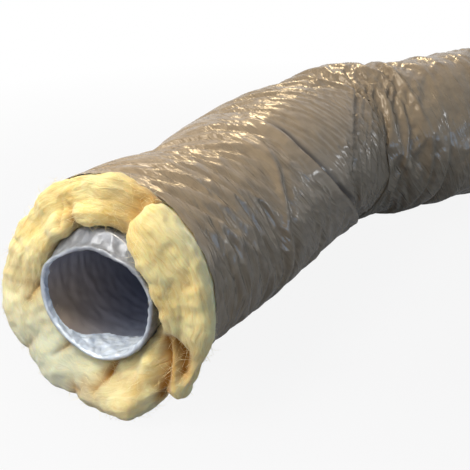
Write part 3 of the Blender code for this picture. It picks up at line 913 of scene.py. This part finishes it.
taupe_film, tree, shader = new_finish("taupe_film")
coords = add_node(tree, "TexCoord")
metres = add_node(tree, "Mapping", Vector=coords.outputs["UV"], Scale=(0.72, 1.04, 1.0))
wrinkles = add_node(tree, "TexNoise", Vector=metres.outputs["Vector"], Scale=70.0, Detail=5.0)
tint = ramp(tree, wrinkles.outputs["Fac"], [(0.3, (0.265, 0.195, 0.116)), (0.7, (0.335, 0.250, 0.148))])
# The near black mixed in here is a painted shadow in the slit under the lip.
slit_shadowed_tint = blend_colours(tree, marked(tree, "painted_slit_shadow"), tint, (0.045, 0.032, 0.022, 1))
crinkled = add_node(
    tree, "Mapping", Vector=metres.outputs["Vector"], Scale=(22.0, 150.0, 1.0), Rotation=(0, 0, -0.3)
)
crinkles = add_node(
    tree, "TexNoise", {"noise_type": "RIDGED_MULTIFRACTAL"}, Vector=crinkled.outputs["Vector"],
    Scale=1.0, Detail=2.5, Distortion=0.8,
)
crumpled = add_node(
    tree, "Mapping", Vector=metres.outputs["Vector"], Scale=(34.0, 72.0, 1.0), Rotation=(0, 0, -0.35)
)
crumples = add_node(tree, "TexVoronoi", {"feature": "F1"}, Vector=crumpled.outputs["Vector"], Scale=1.0)
dents = add_node(tree, "TexNoise", Vector=metres.outputs["Vector"], Scale=34.0, Detail=1.5)
limp = marked(tree, "limp")
dented = bumped(tree, dents.outputs["Fac"], 0.3, 0.008)
fine = bumped(tree, wrinkles.outputs["Fac"], 0.15, 0.003, dented)
faceted = bumped(tree, crumples.outputs["Distance"], limp, 0.0024, fine)
bump = bumped(tree, crinkles.outputs["Fac"], limp, 0.0022, faceted)
set_inputs(tree, shader, Base_Color=slit_shadowed_tint, Metallic=0.05, Roughness=0.21, Specular_IOR_Level=0.28)
set_inputs(tree, shader, Normal=bump)

before_crease = CREASE_LINE(film_angle) - film_along
on_panel = smooth_step(past_lip / PANEL_EASE) * smooth_step(before_crease / PANEL_EASE) * strength
on_lip = swell(past_lip, HOLD_LIP_RUN) * strength
past_crease = film_along - CREASE_LINE(film_angle)
on_pleats = swell(past_crease - HOLD_PLEATS_RUN, HOLD_PLEATS_RUN) * CREASE_STRENGTH(film_angle)
at_ends = swell(film_along, HOLD_ENDS_RUN) + swell(jacket_length - film_along, HOLD_ENDS_RUN)
at_corner = swell(film_along - bend_start, HOLD_CORNER_RUN)
at_corner *= swell(turn_from(film_angle, HOLD_CORNER_AT), HOLD_CORNER_ROUND)
patchy = ruffle(on_duct(film_along, film_angle, film_radius), 0.07, seed=12)
hold = HOLD_PLAIN + HOLD_PATCHY * patchy + HOLD_PANEL * on_panel + HOLD_LIP * on_lip
hold += HOLD_ENDS * at_ends
hold += HOLD_CORNER * at_corner
hold += HOLD_PLEATS * on_pleats
hold = np.round(np.clip(hold, *HOLD_LIMITS), 2)[left_after_seam]
film_mesh = wrinkle(film_mesh, pushed[left_after_seam], hold)
settled = get_points(film_mesh)
settled[:, 2] = np.maximum(settled[:, 2], FILM_OFF_FLOOR)
set_points(film_mesh, settled)
film_mesh.shade_smooth()
# Painted shadow: the panel just beyond the lip's crest is coloured near black, where the lip shades the
# slit.
slit_shadow = strength * swell(np.maximum(past_lip - SLIT_PLACE, 0), SLIT_FADE)
slit_shadow *= row > ROWS_TO_LIP + SLIT_FIRST_ROW
past_start = smooth_step(3 * turn_from(film_angle, SLIT_FROM))
slit_shadow *= past_start * smooth_step(-3 * turn_from(film_angle, SLIT_TO))
mark(film_mesh, "painted_slit_shadow", (SLIT_SHADOW_PAINT * slit_shadow)[left_after_seam])
mark(film_mesh, "limp", (LIMP_PLAIN - LIMP_LESS_ON_PANEL * on_panel)[left_after_seam])
jacket = fit_piece("jacket_film", film_mesh, taupe_film, "jacket")

# Floor, light and camera of the photograph: a plain pale floor, a warm lamp behind, soft ones above
# and in front, cool and blue ones at the right, small ones for the mouth, and the camera above the
# right of the mouth.
FLOOR_SIZE = 8.0
FLOOR_NEAR = 0.35
FLOOR_FAR = 1.3
NEAR_GLOW_IN_VIEW = 0.90
NEAR_GLOW_IN_GLOSS = 0.15
CAMERA_AZIMUTH = math.radians(27.756)
CAMERA_PITCH = math.radians(22.857)
CAMERA_LENS = 68.94
CAMERA_FROM_MOUTH = Vector((0.4843, -0.6647 + CORE_OVERHANG, 0.3949))

floor_shape = bmesh.new()
bmesh.ops.create_grid(floor_shape, x_segments=1, y_segments=1, size=FLOOR_SIZE / 2)
floor_mesh = bpy.data.meshes.new("floor")
floor_shape.to_mesh(floor_mesh)
floor_shape.free()
floor = bpy.data.objects.new("floor", floor_mesh)
bpy.context.scene.collection.objects.link(floor)


def combine(tree, operation, first, second):
    made = add_node(tree, "Math", {"operation": operation})
    plug(tree, made.inputs[0], first)
    plug(tree, made.inputs[1], second)
    return made.outputs[0]


def seen_directly(tree, in_view, in_reflections):
    """How much rays show the plain background: from the camera, and in reflections or through glass."""
    rays = add_node(tree, "LightPath")
    mirrored = combine(tree, "MAXIMUM", rays.outputs["Is Glossy Ray"], rays.outputs["Is Transmission Ray"])
    view_share = combine(tree, "MULTIPLY", rays.outputs["Is Camera Ray"], in_view)
    return combine(tree, "MAXIMUM", view_share, combine(tree, "MULTIPLY", mirrored, in_reflections))


def less_near(tree, away, share):
    """1 far away, and only this share near the duct."""
    made = add_node(tree, "MapRange", Value=away, From_Min=FLOOR_NEAR, From_Max=FLOOR_FAR)
    set_inputs(tree, made, To_Min=share, To_Max=1.0)
    return made.outputs["Result"]


def show_both(tree, share, plain, direct, output):
    """Shows the plain shader, with a share of the one that is seen directly."""
    mixed = add_node(tree, "MixShader", Fac=share)
    tree.links.new(plain.outputs[0], mixed.inputs[1])
    tree.links.new(direct.outputs[0], mixed.inputs[2])
    tree.links.new(mixed.outputs[0], tree.nodes[output].inputs["Surface"])


pale_floor, tree, shader = new_finish("pale_floor")
set_inputs(tree, shader, Base_Color=(0.20, 0.20, 0.22, 1), Roughness=0.9)
glow = add_node(tree, "Emission", Color=(1, 1, 1, 1), Strength=1.0)
place = add_node(tree, "TexCoord")
distance = add_node(tree, "VectorMath", {"operation": "LENGTH"})
tree.links.new(place.outputs["Object"], distance.inputs[0])
away = distance.outputs["Value"]
in_view = less_near(tree, away, NEAR_GLOW_IN_VIEW)
in_gloss = less_near(tree, away, NEAR_GLOW_IN_GLOSS)
show_both(tree, seen_directly(tree, in_view, in_gloss), shader, glow, "Material Output")
floor_mesh.materials.append(pale_floor)

world = bpy.data.worlds.new("studio")
bpy.context.scene.world = world
world.use_nodes = True
tree = world.node_tree
soft = add_node(tree, "Background", Color=(0.60, 0.69, 1.0, 1), Strength=0.26)
white = add_node(tree, "Background", Color=(1, 1, 1, 1), Strength=1.0)
show_both(tree, seen_directly(tree, 1.0, 1.0), soft, white, "World Output")


def add_lamp(name, place, aim, size, power, colour, spread=180):
    lamp = bpy.data.lights.new(name, "AREA")
    lamp.shape = "RECTANGLE"
    lamp.size, lamp.size_y = size
    lamp.energy = power
    lamp.color = colour
    lamp.spread = math.radians(spread)
    holder = bpy.data.objects.new(name, lamp)
    holder.location = place
    holder.rotation_euler = (Vector(aim) - Vector(place)).to_track_quat("-Z", "Y").to_euler()
    bpy.context.scene.collection.objects.link(holder)


add_lamp("warm_back", (-0.62, 1.35, 1.20), (-0.08, -0.15, 0.18), (0.30, 0.18), 6.5, (1.0, 0.77, 0.44))
add_lamp("soft_top", (-0.70, -0.20, 1.50), (-0.05, -0.10, 0.15), (0.7, 0.5), 8, (1.0, 0.95, 0.86))
add_lamp("mouth_top", (-0.45, -1.05, 1.50), (-0.12, -0.56, 0.10), (0.7, 0.5), 3.3, (1.0, 0.95, 0.86), 70)
add_lamp("cool_side", (1.45, 1.15, 0.50), (0.0, 0.0, 0.14), (0.15, 0.18), 2.5, (0.80, 0.89, 1.0))
add_lamp("blue_low", (1.30, -0.20, 0.16), (0.0, 0.05, 0.08), (0.9, 0.25), 3.2, (0.20, 0.50, 1.0))
add_lamp("front_fill", (-0.75, -1.70, 0.95), (-0.11, -0.50, 0.12), (0.8, 0.8), 8.5, (1.0, 0.97, 0.92))
add_lamp("mouth_right", (0.75, -1.55, 0.55), (-0.08, -0.55, 0.10), (0.5, 0.5), 0.13, (1.0, 0.96, 0.90), 60)

camera_data = bpy.data.cameras.new("photograph")
camera_data.lens = CAMERA_LENS
camera_data.sensor_width = 36.0
camera = bpy.data.objects.new("photograph", camera_data)
camera.location = mouth + CAMERA_FROM_MOUTH
camera.rotation_euler = (math.pi / 2 - CAMERA_PITCH, 0, CAMERA_AZIMUTH)
bpy.context.scene.collection.objects.link(camera)
bpy.context.scene.camera = camera
bpy.context.scene.view_settings.view_transform = "Standard"
